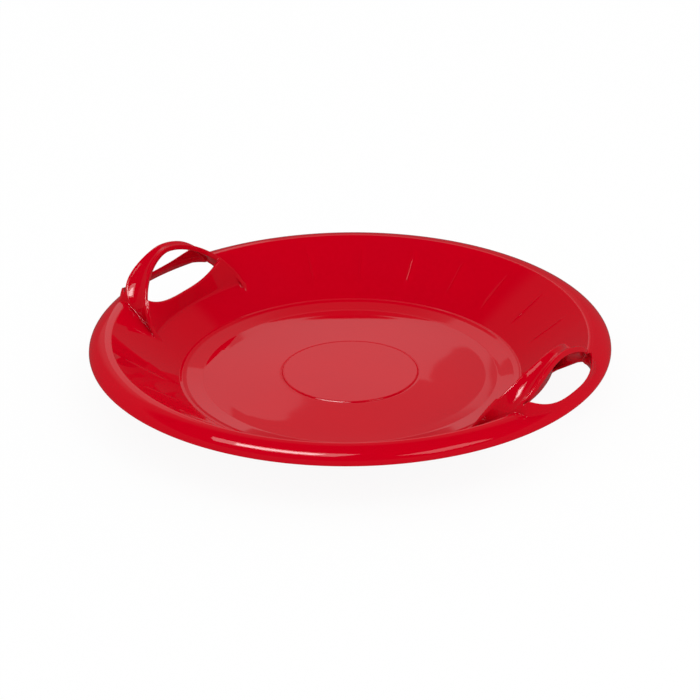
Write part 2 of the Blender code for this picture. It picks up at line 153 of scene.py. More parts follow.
def small_bumps(radius):
    """A bell-shaped groove round the middle disc and a fine bead along the crest."""
    groove = -GROOVE_DEPTH * np.exp(-((radius - DISC_RADIUS - DISC_STEP) / GROOVE_WIDTH) ** 2)
    out = (radius - CREST_RADIUS - CREST_BEAD_OUT) / CREST_BEAD_WIDTH
    return groove + CREST_BEAD_HEIGHT * np.exp(-out ** 2)


print("height of the crest once rounded:", float(rounded_heights(CREST_RADIUS)))

# %% [markdown]
# A straight stretch of the profile is given by the radii of its first and last row and its count of rows. A
# bend is given by its middle, by how far its rows reach to both sides, and by their count. On the lip the
# rows are set by even turns round the ellipse, from just past the last bend out to the rim.

# %% Rows of the profile
LEDGE_ROWS_INSET = 0.0013
CREST_ROWS_OUT = 0.0005
STRETCHES = (
    (0.012, 0.070, 5),
    (0.090, 0.138, 7),
    (0.142, 0.154, 5),
    (0.175, 0.186, 4),
    (0.206, 0.266, 13),
)
BENDS = (
    (DISC_RADIUS + DISC_STEP, 0.004, 15),
    (REST_INNER_RADIUS + FOOT_DRAFT / 2, 0.0012, 7),
    (REST_OUTER_RADIUS - FOOT_DRAFT / 2, 0.0012, 7),
    (RISE_TOP_RADIUS, 0.002, 5),
    (WALL_FOOT_RADIUS - LEDGE_ROWS_INSET, 0.004, 17),
    (CREST_RADIUS + CREST_ROWS_OUT, 0.005, 21),
)
ROW_DECIMALS = 6
LIP_ROW_GAP = 0.0015
LIP_ROWS = 12

straight_rows = [np.linspace(start, end, count) for start, end, count in STRETCHES]
bend_rows = [np.linspace(middle - reach, middle + reach, count) for middle, reach, count in BENDS]
inner_rows = np.unique(np.round(np.concatenate(straight_rows + bend_rows), ROW_DECIMALS))
lip_start = (inner_rows[-1] + LIP_ROW_GAP - CREST_RADIUS) / LIP_WIDTH
lip_turns = np.linspace(math.acos(lip_start), 0, LIP_ROWS)
lip_rows = CREST_HEIGHT - LIP_DROP + LIP_DROP * np.sin(lip_turns)
row_radius = np.concatenate([inner_rows, CREST_RADIUS + LIP_WIDTH * np.cos(lip_turns)])
row_height = np.concatenate([rounded_heights(inner_rows), lip_rows]) + small_bumps(row_radius)
print("profile rows:", len(row_radius))

# %% [markdown]
# Fourteen thin ribs stand on the wall, in two fans of seven about +Y and -Y. They belong to the same
# moulding, so they are part of the same surface: the height gains a soft ridge near each rib's line. Even
# columns about a degree apart would miss a rib two millimetres wide, so extra columns are set beside each
# rib, at shares of its half width, and even columns too close to them are left out.

# %% Ribs on the wall
RIB_PITCH = math.radians(15)
RIBS_EACH_SIDE_OF_MIDDLE = 3
RIB_CREST_MARGIN = 0.0172
RIB_LENGTH = 0.0397
RIB_HALF_WIDTH = 0.0010
RIB_HEIGHT = 0.0007
RIB_END = 0.003
RIB_FLATNESS = 4
FAR_ACROSS = 6
BESIDE_RIB = (-1.6, -1.0, -0.6, -0.25, 0.25, 0.6, 1.0, 1.6)
CLEAR_OF_RIB = 2.2
EVEN_COLUMNS = 320

RIB_OUTER_RADIUS = CREST_RADIUS - RIB_CREST_MARGIN
RIB_INNER_RADIUS = RIB_OUTER_RADIUS - RIB_LENGTH
RIB_HALF_TURN = RIB_HALF_WIDTH / RIB_INNER_RADIUS
fan = np.arange(-RIBS_EACH_SIDE_OF_MIDDLE, RIBS_EACH_SIDE_OF_MIDDLE + 1) * RIB_PITCH
rib_angles = np.concatenate([math.pi / 2 + fan, 3 * math.pi / 2 + fan])
extra_columns = (rib_angles[:, None] + np.array(BESIDE_RIB) * RIB_HALF_TURN).ravel()
even_columns = np.linspace(0, 2 * math.pi, EVEN_COLUMNS, endpoint=False)
gap_to_rib = np.abs(even_columns[:, None] - rib_angles[None, :]).min(1)
even_columns = even_columns[gap_to_rib > CLEAR_OF_RIB * RIB_HALF_TURN]
column_angle = np.sort(np.concatenate([even_columns, extra_columns]))


def rib_height(radius, angle):
    """Ridge that falls as a bell across its width and eases out over its ends."""
    turn = np.abs(angle[..., None] - rib_angles)
    across = radius * np.min(turn, -1) / RIB_HALF_WIDTH
    along = ease((radius - RIB_INNER_RADIUS) / RIB_END) * ease((RIB_OUTER_RADIUS - radius) / RIB_END)
    return RIB_HEIGHT * along * np.exp(-np.clip(across, 0, FAR_ACROSS) ** RIB_FLATNESS)


print("columns:", len(column_angle), "ribs:", len(rib_angles))

# %% [markdown]
# Each hand hold is a moulding of several forms that run into each other with rounded inside corners: an
# arched grip with a channel along its back, an upstand on the inboard side of the hand opening, and a
# collar along its outboard side. Patches on two-parameter grids would leave a hard line wherever two of
# them cross. So the hand hold is written as a function of place instead: about the distance to its skin,
# negative inside. Two such functions join by taking the smaller value, and a smooth minimum leaves a
# fillet. The places follow the CAD source. The grip's section is a little thinner here, as its edges are
# in the photograph.

# %% Sizes of the hand hold
GRIP_HALF_SPAN = 0.0907
GRIP_RISE = 0.0685
GRIP_DEPTH = 0.0060
GRIP_WEB = 0.0024
GRIP_BORDER = 0.0026
CHANNEL_DEPTH = 0.0032
CHANNEL_SHARE = 0.38
INNER_FOOT_OUT = 0.2149
INNER_FOOT_HEIGHT = 0.0370
INNER_LEAN = 0.67
INNER_ROUNDNESS = 1.73
OUTER_SPAN_STEP = 0.0122
OUTER_FOOT_HEIGHT = 0.0633
OUTER_RISE = 0.0419
OUTER_ROUNDNESS = 1.70
OUTER_TOP_OUT = 0.2757
OUTER_TUCK = 0.0112
TUCK_POWER = 8
OPENING_MIDDLE_INSET = 0.0226
OPENING_OUT = 0.2911
OPENING_END_MARGIN = 0.0117
OPENING_ROUNDNESS = 2.4
UPSTAND_RADIUS = 0.2326
UPSTAND_THICKNESS = 0.0032
UPSTAND_TOP = 0.0550
UPSTAND_SWEEP = 0.0105
UPSTAND_JOIN_MARGIN = 0.0277
UPSTAND_TOP_OUT = 0.2348
UPSTAND_COVER = 0.0012
COLLAR_TOP = 0.0638
COLLAR_SWEEP = 0.0147
COLLAR_TIP_LENGTH = 0.0065
COLLAR_END_MARGIN = 0.0006
COLLAR_BOTTOM = 0.0565
COLLAR_UNDER_GRIP = 0.0003
COLLAR_STEEPNESS = 1.35
TOE_MIDDLE_OUT = 0.2555
TOE_OUT = 0.2944
TOE_HALF_LENGTH = 0.0930
EDGE_ROUND = 0.0012

OUTER_HALF_SPAN = GRIP_HALF_SPAN - OUTER_SPAN_STEP
OPENING_MIDDLE_OUT = CREST_RADIUS - OPENING_MIDDLE_INSET
OPENING_HALF_LENGTH = GRIP_HALF_SPAN - OPENING_END_MARGIN
UPSTAND_JOIN = GRIP_HALF_SPAN - UPSTAND_JOIN_MARGIN
COLLAR_HALF_LENGTH = OPENING_HALF_LENGTH - COLLAR_TIP_LENGTH
COLLAR_END = OPENING_HALF_LENGTH - COLLAR_END_MARGIN
print("length of the hand opening:", 2 * OPENING_HALF_LENGTH)

# %% [markdown]
# A few helpers serve every form. The smooth minimum and maximum round a join over a chosen width. The slope
# is taken from two places, one a twentieth of a millimetre to each side. A tiny value and a least width
# keep divisions away from zero.

# %% Helpers for functions of place
DIFFERENCE = 0.00005
TINY = 1e-9
LEAST_WIDTH = 0.001


def smooth_min(a, b, width):
    """The smaller of two values, less a parabola where they differ by under width."""
    close = np.maximum(width - np.abs(a - b), 0) / width
    return np.minimum(a, b) - close * close * width / 4


def smooth_max(a, b, width):
    """The larger of two values, rounded in the same way."""
    return -smooth_min(-a, -b, width)


def slope_of(level, out, along, height):
    """Rate of change of a function of place along its three axes, by differences to both sides."""
    step = DIFFERENCE
    by_out = level(out + step, along, height) - level(out - step, along, height)
    by_along = level(out, along + step, height) - level(out, along - step, height)
    by_height = level(out, along, height + step) - level(out, along, height - step)
    return by_out / (2 * step), by_along / (2 * step), by_height / (2 * step)


def surface_height(radius):
    """Upper surface of the wall and the lip, on the dish's own rows."""
    return np.interp(radius, row_radius, row_height)


print("wall's height at the upstand:", float(surface_height(UPSTAND_RADIUS)))

# %% [markdown]
# The grip's back lies between two edges. The inboard edge is a rounded arch in a plane that leans outwards,
# and the outboard edge is a lower arch in an upright plane, tucked in at its feet. Blending the two arches'
# half span, foot and rise by the share across the grip gives one smooth back, whose level is zero on it.

# %% Back of the grip
TUCK_LIMIT = 1.1
SHARE_SLACK = 0.25


def grip_share(out, along, height):
    """Share of the way from the inboard edge's plane, 0, to the outboard edge, 1."""
    inner = INNER_FOOT_OUT + INNER_LEAN * (height - INNER_FOOT_HEIGHT)
    tuck = OUTER_TUCK * np.minimum(np.abs(along) / OUTER_HALF_SPAN, TUCK_LIMIT) ** TUCK_POWER
    return (out - inner) / (OUTER_TOP_OUT - tuck - inner)


def grip_level(out, along, height):
    """The root of the summed powers of two shares, of the half span and of the rise, less one."""
    share = np.clip(grip_share(out, along, height), -SHARE_SLACK, 1 + SHARE_SLACK)
    half = mix(GRIP_HALF_SPAN, OUTER_HALF_SPAN, share)
    base = mix(INNER_FOOT_HEIGHT, OUTER_FOOT_HEIGHT, share)
    rise = mix(GRIP_RISE, OUTER_RISE, share)
    power = mix(INNER_ROUNDNESS, OUTER_ROUNDNESS, share)
    up = np.maximum(height - base, 0) / rise
    return ((np.abs(along) / half) ** power + up ** power) ** (1 / power) - 1


def grip_distance(out, along, height):
    """Channel section, set square to the grip's back: a web between two flanges, dished along the top.

    The depth under the back is the level over its slope. The place on the back straight above a point
    gives the distances to the two edges, as the share over its slope along the back.
    """
    level = grip_level(out, along, height)
    slope = slope_of(grip_level, out, along, height)
    steep = np.sqrt(slope[0] ** 2 + slope[1] ** 2 + slope[2] ** 2) + TINY
    normal = [part / steep for part in slope]
    depth = -level / steep
    foot = [place + depth * part for place, part in zip((out, along, height), normal)]
    share = grip_share(*foot)
    slope = slope_of(grip_share, *foot)
    lean = slope[0] * normal[0] + slope[1] * normal[1] + slope[2] * normal[2]
    rate = np.sqrt(np.maximum(slope[0] ** 2 + slope[1] ** 2 + slope[2] ** 2 - lean ** 2, 1.0))
    from_inner = share / rate
    from_outer = (1 - share) / rate
    half_width = (from_inner + from_outer) / 2
    trough = np.maximum(half_width - GRIP_BORDER, LEAST_WIDTH)
    off_middle = np.clip(np.abs(from_inner - from_outer) / 2 / trough, 0, 1)
    dish = np.minimum(CHANNEL_DEPTH, CHANNEL_SHARE * trough) * (1 - off_middle ** 2)
    skin = smooth_max(dish - depth, -from_inner, EDGE_ROUND)
    skin = smooth_max(skin, -from_outer, EDGE_ROUND)
    skin = smooth_max(skin, depth - GRIP_DEPTH, EDGE_ROUND)
    hollow = smooth_max(GRIP_BORDER - from_inner, GRIP_BORDER - from_outer, EDGE_ROUND)
    hollow = smooth_max(hollow, dish + GRIP_WEB - depth, EDGE_ROUND)
    return smooth_max(skin, -hollow, EDGE_ROUND), depth


crown_out = INNER_FOOT_OUT + INNER_LEAN * GRIP_RISE
print("level on the crown, near zero:", float(grip_level(crown_out, 0.0, INNER_FOOT_HEIGHT + GRIP_RISE)))

# %% [markdown]
# The hand opening is a rounded oblong on the outboard side and an arc of the wall on the inboard side. The
# upstand is a thin wall on that arc. Its top edge starts level and sweeps up by the cube of the distance
# along, until it meets the underside of the grip.

# %% Opening and upstand
def opening_level(out, along, height):
    """Rounded oblong in plan: the root of two summed powers, less one."""
    reach = np.maximum(out - OPENING_MIDDLE_OUT, 0) / (OPENING_OUT - OPENING_MIDDLE_OUT)
    power = OPENING_ROUNDNESS
    return (reach ** power + (np.abs(along) / OPENING_HALF_LENGTH) ** power + TINY) ** (1 / power) - 1


def oblong_distance(out, along, height):
    """The opening's level over its slope: about the distance outside the oblong."""
    slope = slope_of(opening_level, out, along, height)
    return opening_level(out, along, height) / np.sqrt(slope[0] ** 2 + slope[1] ** 2 + 1.0)


def opening_distance(out, along, height):
    """Distance outside the opening, with the arc of the upstand's outboard foot as its inboard side."""
    radius = np.sqrt(out ** 2 + along ** 2)
    return np.maximum(oblong_distance(out, along, height), UPSTAND_RADIUS + UPSTAND_THICKNESS - radius)


def upstand_distance(out, along, height, grip_depth):
    """Half the thickness from a face that runs straight from the foot's arc up to the top edge."""
    foot_height = surface_height(np.float64(UPSTAND_RADIUS))
    foot_out = np.sqrt(np.maximum(UPSTAND_RADIUS ** 2 - along ** 2, 0))
    top = UPSTAND_TOP + UPSTAND_SWEEP * (np.abs(along) / UPSTAND_JOIN) ** 3
    up = (height - foot_height) / (top - foot_height)
    face = foot_out + (UPSTAND_TOP_OUT - foot_out) * up + UPSTAND_THICKNESS / 2
    lean = (UPSTAND_TOP_OUT - foot_out) / (top - foot_height)
    wall = (np.abs(out - face) - UPSTAND_THICKNESS / 2) / np.sqrt(1 + lean ** 2)
    wall = smooth_max(wall, height - top, EDGE_ROUND)
    return smooth_max(wall, UPSTAND_COVER - grip_depth, EDGE_ROUND)


print("distance at the opening's outboard end, near zero:", float(oblong_distance(OPENING_OUT, 0.0, 0.0)))

# %% [markdown]
# The collar stands round the outboard side of the opening. Its inner face is upright, its top edge sweeps
# up towards the legs, and its outer face falls to a toe on the lip.

# %% Collar
def toe_level(out, along, height):
    """Ellipse in plan on which the collar's toe lies."""
    reach = np.maximum(out - TOE_MIDDLE_OUT, 0) / (TOE_OUT - TOE_MIDDLE_OUT)
    return np.sqrt(reach ** 2 + (along / TOE_HALF_LENGTH) ** 2 + TINY) - 1


def outer_arch_height(along):
    """Height of the grip's outboard edge over a place along the side."""
    share = np.minimum(np.abs(along) / OUTER_HALF_SPAN, 1)
    return OUTER_FOOT_HEIGHT + OUTER_RISE * (1 - share ** OUTER_ROUNDNESS) ** (1 / OUTER_ROUNDNESS)


def collar_distance(out, along, height):
    """Inner face on the opening's edge, a swept top, and an outer face that falls straight to the toe."""
    radius = np.sqrt(out ** 2 + along ** 2)
    inside = oblong_distance(out, along, height)
    slope = slope_of(toe_level, out, along, height)
    to_toe = -toe_level(out, along, height) / np.sqrt(slope[0] ** 2 + slope[1] ** 2 + 1.0)
    swept = COLLAR_TOP + COLLAR_SWEEP * (np.abs(along) / COLLAR_HALF_LENGTH) ** 3
    top = np.minimum(swept, outer_arch_height(along) - COLLAR_UNDER_GRIP)
    lip = surface_height(radius)
    width = np.maximum(inside + to_toe, LEAST_WIDTH)
    face = lip + (top - lip) * np.clip(to_toe / width * COLLAR_STEEPNESS, -1, 1)
    fall = (top - lip) * COLLAR_STEEPNESS / width
    outer = (height - face) / np.sqrt(1 + fall ** 2)
    skin = smooth_max(-inside, height - top, EDGE_ROUND)
    skin = smooth_max(skin, outer, EDGE_ROUND)
    skin = smooth_max(skin, -to_toe, EDGE_ROUND)
    skin = smooth_max(skin, COLLAR_BOTTOM - height, EDGE_ROUND)
    return smooth_max(skin, np.abs(along) - COLLAR_END, EDGE_ROUND)


print("height of the grip's outboard edge over the middle:", float(outer_arch_height(0.0)))

# %% [markdown]
# The three forms join each other and the dish's own skin with fillets. The dish piece is drawn by itself,
# so here its shell only helps to shape the fillets: it lies a hair inside the real surface, where the dish
# hides it, and stops a few millimetres past the forms.

# %% The whole hand hold
FILLET = 0.0020
SMALL_FILLET = 0.0016
HIDDEN = 0.00005
HIDDEN_SHELL_SHARE = 0.9
BAND = 0.0075


def hand_hold_distance(out, along, height):
    """Smooth minimum of grip, upstand and collar, and of the shell close to them."""
    radius = np.sqrt(out ** 2 + along ** 2)
    surface = surface_height(radius)
    slope = (surface_height(radius + DIFFERENCE) - surface_height(radius - DIFFERENCE)) / (2 * DIFFERENCE)
    above = (height - surface) / np.sqrt(1 + slope ** 2)
    grip, depth = grip_distance(out, along, height)
    upstand = upstand_distance(out, along, height, depth)
    forms = smooth_min(grip, upstand, SMALL_FILLET)
    forms = smooth_max(forms, -above - SHELL / 2, EDGE_ROUND)
    forms = smooth_min(forms, collar_distance(out, along, height), SMALL_FILLET)
    shell = np.maximum(above + HIDDEN, -above - HIDDEN_SHELL_SHARE * SHELL)
    shell = np.maximum(shell, radius - RIM_RADIUS + SHELL / 2)
    shell = np.maximum(shell, -opening_distance(out, along, height))
    return np.maximum(smooth_min(forms, shell, FILLET), forms - BAND)


hand_place = (OPENING_MIDDLE_OUT, 0.0, COLLAR_TOP)
print("room round the hand, to the nearest form:", float(hand_hold_distance(*np.array(hand_place))))

# %% [markdown]
# To turn the function into a skin, it is worked out on a grid of points. Each cell that the skin crosses
# gets one vertex, at the mean of the crossings on its edges, and each grid edge that it crosses gets one
# face. A few steps down the function's slope then put every vertex on the skin itself. This way is used
# because it keeps the fillets whole, whatever crosses what.

# %% Grid edges that the skin crosses
PITCH = 0.0008
SKIN_LOW = np.array([0.2030, -0.1010, 0.0240])
SKIN_HIGH = np.array([0.3010, 0.1010, 0.1075])


def shifted(values, axis, start, stop):
    """A slice of an array along one axis."""
    part = [slice(None)] * values.ndim
    part[axis] = slice(start, stop)
    return values[tuple(part)]


def crossed_edges(values, axis):
    """Grid edges along an axis: if the skin crosses each, where on it, and if it starts inside."""
    first = shifted(values, axis, None, -1)
    second = shifted(values, axis, 1, None)
    hit = (first < 0) != (second < 0)
    share = np.where(hit, first / np.where(hit, first - second, 1), 0)
    return hit, share, first < 0


axes = [np.arange(low, high, PITCH) for low, high in zip(SKIN_LOW, SKIN_HIGH)]
places = np.meshgrid(*axes, indexing="ij")
distances = hand_hold_distance(*places)
print("grid points:", distances.size)

# %% [markdown]
# The vertices come first, and the grid of their numbers then tells each face its four corners. The corners
# of a face run the other way round where the edge starts outside, so that every face points outward.

# %% Vertices and faces of the skin
def skin_vertices(values, low, pitch):
    """Places of the vertices, one to a crossed cell, and a grid of their numbers."""
    cells = tuple(count - 1 for count in values.shape)
    total = np.zeros(cells + (3,))
    hits = np.zeros(cells)
    for axis in range(3):
        hit, share, inside = crossed_edges(values, axis)
        b, c = [other for other in range(3) if other != axis]
        for step_b, step_c in ((0, 0), (0, 1), (1, 0), (1, 1)):
            near_hit = shifted(hit, b, step_b, cells[b] + step_b)
            near_hit = shifted(near_hit, c, step_c, cells[c] + step_c)
            near_share = shifted(share, b, step_b, cells[b] + step_b)
            near_share = shifted(near_share, c, step_c, cells[c] + step_c)
            hits += near_hit
            total[..., axis] += near_share
            total[..., b] += near_hit * step_b
            total[..., c] += near_hit * step_c
    active = hits > 0
    number = np.full(cells, -1)
    number[active] = np.arange(active.sum())
    mean_crossing = total[active] / hits[active][:, None]
    return low + pitch * (np.argwhere(active) + mean_crossing), number


def skin_faces(values, number):
    """Four-sided faces, one to a crossed grid edge, between the four cells round it and facing outward."""
    faces = []
    for axis in range(3):
        hit, share, inside = crossed_edges(values, axis)
        b, c = (axis + 1) % 3, (axis + 2) % 3
        hit = shifted(shifted(hit, b, 1, -1), c, 1, -1)
        inside = shifted(shifted(inside, b, 1, -1), c, 1, -1)
        outward = inside[hit]
        corners = []
        for step_b, step_c in ((0, 0), (1, 0), (1, 1), (0, 1)):
            cell = np.argwhere(hit)
            cell[:, b] += step_b
            cell[:, c] += step_c
            corners.append(number[tuple(cell.T)])
        quads = np.stack(corners, 1)
        quads[~outward] = quads[~outward][:, ::-1]
        faces.append(quads)
    return np.concatenate(faces)


net_vertices, cell_numbers = skin_vertices(distances, SKIN_LOW, PITCH)
net_faces = skin_faces(distances, cell_numbers)
print("hand hold skin:", len(net_vertices), "vertices,", len(net_faces), "faces")

# %% [markdown]
# The mean of the crossings lies close to the skin, but not on it. Each step divides the function's value by
# its slope and moves the vertex that far.

# %% Vertices settled on the skin
SKIN_STEPS = 3
LEAST_SQUARE = 0.05


def settled(vertices):
    """Vertices moved down the slope of the function until it is zero, at most half a cell a step."""
    for step in range(SKIN_STEPS):
        value = hand_hold_distance(*vertices.T)
        slope = np.stack(slope_of(hand_hold_distance, *vertices.T), 1)
        square = np.maximum((slope ** 2).sum(1), LEAST_SQUARE)
        move = np.clip(value / square, -PITCH / 2, PITCH / 2)
        vertices = vertices - slope * move[:, None]
    return vertices


net_vertices = settled(net_vertices)
print("hand hold box:", net_vertices.min(0), net_vertices.max(0))

# %% [markdown]
# The dish's grid is rows by columns. The underside is the same grid moved down along the profile's normals,
# and a half circle joins the two round the rim. Faces inside a hand opening are left out on both sides,
# the vertices round the hole move onto its outline, and a strip of faces joins the two sides there. The
# cut lies inside the collar and the upstand, so it never shows.

# %% Cut for the hand openings
CUT_MARGIN = 0.0013
CUT_STEPS = 3


def cut_distance(x, y):
    """Distance outside the nearer hand opening's cut, in plan."""
    return opening_distance(np.abs(x), y, np.zeros_like(x)) - CUT_MARGIN


def moved_to_cut(x, y):
    """Places moved down the slope of the cut's distance until they lie on its outline."""
    for step in range(CUT_STEPS):
        here = cut_distance(x, y)
        by_x = cut_distance(x + DIFFERENCE, y) - here
        by_y = cut_distance(x, y + DIFFERENCE) - here
        square = by_x ** 2 + by_y ** 2
        x = x - by_x * here * DIFFERENCE / square
        y = y - by_y * here * DIFFERENCE / square
    return x, y


print("cut's outboard end from the middle:", moved_to_cut(np.array([OPENING_OUT]), np.array([0.0]))[0][0])

# %% [markdown]
# The underside follows the profile's normals, so the shell is equally thick on the floor and on the wall,
# and it drops to the ground at the foot ring. The half circle has its ends on the two sides' last rows.

# %% Two sides and the rim
EDGE_ROWS = 5


def profile_normals(radius, height):
    """Unit normals of the profile, a quarter turn from its direction."""
    run = np.gradient(radius)
    climb = np.gradient(height)
    length = np.hypot(run, climb)
    return -climb / length, run / length


def two_sides(x, y, angle):
    """Places on the upper side, with the ribs, and on the underside, with the foot ring."""
    radius = np.hypot(x, y)
    normal_out, normal_up = profile_normals(row_radius, row_height)
    height = np.interp(radius, row_radius, row_height)
    lower_radius = radius - SHELL * np.interp(radius, row_radius, normal_out)
    lower_height = height - SHELL * np.interp(radius, row_radius, normal_up)
    past_inner = ease((radius - REST_INNER_RADIUS) / FOOT_DRAFT)
    short_of_outer = ease((REST_OUTER_RADIUS - radius) / FOOT_DRAFT)
    lower_height = mix(lower_height, 0, past_inner * short_of_outer)
    upper = np.stack([x, y, height + rib_height(radius, angle)], 1)
    lower = np.stack([lower_radius * (x / radius), lower_radius * (y / radius), lower_height], 1)
    return upper, lower


def rim_places():
    """Half circle round the rim's edge, from the upper side to the underside."""
    turns = np.linspace(0, -math.pi, EDGE_ROWS + 2)[1:-1]
    radius = RIM_RADIUS - SHELL / 2 + SHELL / 2 * np.cos(turns)
    height = row_height[-1] + SHELL / 2 * np.sin(turns)
    x = radius[:, None] * np.cos(column_angle)
    y = radius[:, None] * np.sin(column_angle)
    z = np.repeat(height[:, None], len(column_angle), 1)
    return np.stack([x, y, z], -1).reshape(-1, 3)


print("places round the rim's edge:", len(rim_places()))

# %% [markdown]
# Faces are rows of vertex numbers. A grid gives four-sided faces, the ring round a pole gives three-sided
# ones, and the edge of a hole is found as the face edges that only one face uses.

# %% Faces of the dish
def grid_faces(index, following):
    """Four-sided faces of a grid whose last column is joined to its first."""
    corners = [index[:-1], index[1:], index[1:][:, following], index[:-1][:, following]]
    return np.stack(corners, -1).reshape(-1, 4)


def hole_strip(kept, border, count):
    """Faces that join the two sides round a hole, on the edges there that only one face uses."""
    pairs = np.concatenate([kept[:, [a, (a + 1) % 4]] for a in range(4)])
    first, uses = np.unique(np.sort(pairs, 1), axis=0, return_index=True, return_counts=True)[1:]
    single = pairs[first[uses == 1]]
    hole = single[np.isin(single, border).all(1)]
    return np.stack([hole[:, 1], hole[:, 0], hole[:, 0] + count, hole[:, 1] + count], 1)


def fan_faces(pole, ring, following):
    """Three-sided faces from a pole to the ring of vertices round it."""
    return np.stack([np.full(len(ring), pole), ring, ring[following]], 1)


def new_mesh_object(name, vertices, faces):
    """Mesh from arrays of places and of four-sided or three-sided faces, shaded smooth."""
    mesh = bpy.data.meshes.new(name)
    mesh.vertices.add(len(vertices))
    mesh.vertices.foreach_set("co", np.asarray(vertices, np.float32).ravel())
    counts = np.concatenate([np.full(len(part), part.shape[1]) for part in faces])
    corners = np.concatenate([part.ravel() for part in faces])
    starts = np.concatenate([[0], np.cumsum(counts)[:-1]])
    mesh.loops.add(len(corners))
    mesh.loops.foreach_set("vertex_index", corners.astype(np.int32))
    mesh.polygons.add(len(counts))
    mesh.polygons.foreach_set("loop_start", starts.astype(np.int32))
    mesh.polygons.foreach_set("use_smooth", np.ones(len(counts), bool))
    mesh.update(calc_edges=True)
    mesh.validate()
    thing = bpy.data.objects.new(name, mesh)
    bpy.context.scene.collection.objects.link(thing)
    return thing


# %% [markdown]
# With these helpers the dish is put together. Vertices that no face uses, inside the openings, are dropped
# at the end, and the rest are numbered anew.

# %% Dish mesh
def dish_mesh(name):
    """Both sides of the shell on one grid of rows and columns, closed round the rim and the openings."""
    rows, columns = len(row_radius), len(column_angle)
    count = rows * columns
    radius = np.repeat(row_radius, columns)
    angle = np.tile(column_angle, rows)
    x = radius * np.cos(angle)
    y = radius * np.sin(angle)
    following = (np.arange(columns) + 1) % columns
    index = np.arange(count).reshape(rows, columns)
    quads = grid_faces(index, following)
    outside = cut_distance(x, y)[quads].mean(1) > 0
    kept = quads[outside]
    border = np.intersect1d(kept, quads[~outside])
    x[border], y[border] = moved_to_cut(x[border], y[border])
    upper, lower = two_sides(x, y, angle)
    poles = np.array([[0, 0, DISC_HEIGHT], [0, 0, DISC_HEIGHT - SHELL]])
    vertices = np.concatenate([upper, lower, rim_places(), poles])
    edge_index = np.arange(EDGE_ROWS * columns).reshape(EDGE_ROWS, columns) + 2 * count
    rim = grid_faces(np.concatenate([index[-1:], edge_index, index[-1:] + count]), following)
    sides = np.concatenate([kept, kept[:, ::-1] + count, rim, hole_strip(kept, border, count)])
    upper_fan = fan_faces(len(vertices) - 2, index[0], following)
    lower_fan = fan_faces(len(vertices) - 1, index[0] + count, following)[:, [0, 2, 1]]
    fans = np.concatenate([upper_fan, lower_fan])
    used = np.zeros(len(vertices), bool)
    used[sides] = True
    used[fans] = True
    renumber = np.cumsum(used) - 1
    return new_mesh_object(name, vertices[used], [renumber[sides], renumber[fans]])


dish = dish_mesh("dish")
print("dish faces:", len(dish.data.polygons))

# %% [markdown]
# The two hand holds are one moulding, used twice. The left one is the right one after half a turn about the
# middle, which swaps the signs of x and y.

# %% Hand hold meshes
half_turn = np.array([-1.0, -1.0, 1.0])
right_hold = new_mesh_object("right_hand_hold", net_vertices, [net_faces])
left_hold = new_mesh_object("left_hand_hold", net_vertices * half_turn, [net_faces])
print("hand hold faces:", len(right_hold.data.polygons), len(left_hold.data.polygons))

# %% [markdown]
# The plastic is the same on every piece: saturated red right through, with a hard gloss. Moulded plastic is
# never optically flat. A slow ripple bends reflections a little, a fine grain softens them, and rubbed
# places are slightly duller and deeper. All three are noise on Object coordinates. The depths are in
# metres.

# %% Helpers for materials
def link(tree, start, end):
    """Joins an output socket to an input socket."""
    tree.links.new(start, end)


def noise_node(tree, places, scale, detail, label):
    """Noise over Object coordinates."""
    noise = tree.nodes.new("ShaderNodeTexNoise")
    noise.label = label
    noise.inputs["Scale"].default_value = scale
    noise.inputs["Detail"].default_value = detail
    link(tree, places, noise.inputs["Vector"])
    return noise


def bump_node(tree, height, strength, depth):
    """Bump over a noise's height."""
    bump = tree.nodes.new("ShaderNodeBump")
    bump.inputs["Strength"].default_value = strength
    bump.inputs["Distance"].default_value = depth
    link(tree, height, bump.inputs["Height"])
    return bump


# %% Glossy red plastic
RED = (0.62, 0.0, 0.009, 1.0)
DEEP_RED = (0.56, 0.0, 0.011, 1.0)
PLASTIC_IOR = 1.5
PLASTIC_SPECULAR = 0.5
RUB_SCALE = 9.0
RUB_DETAIL = 4.0
RUB_STARTS = 0.35
RUB_ENDS = 0.75
NEW_ROUGHNESS = 0.02
RUBBED_ROUGHNESS = 0.045
RIPPLE_SCALE = 26.0
RIPPLE_DETAIL = 1.0
RIPPLE_STRENGTH = 0.02
RIPPLE_DEPTH = 0.002
GRAIN_SCALE = 900.0
GRAIN_DETAIL = 2.0
GRAIN_STRENGTH = 0.004
GRAIN_DEPTH = 0.0002


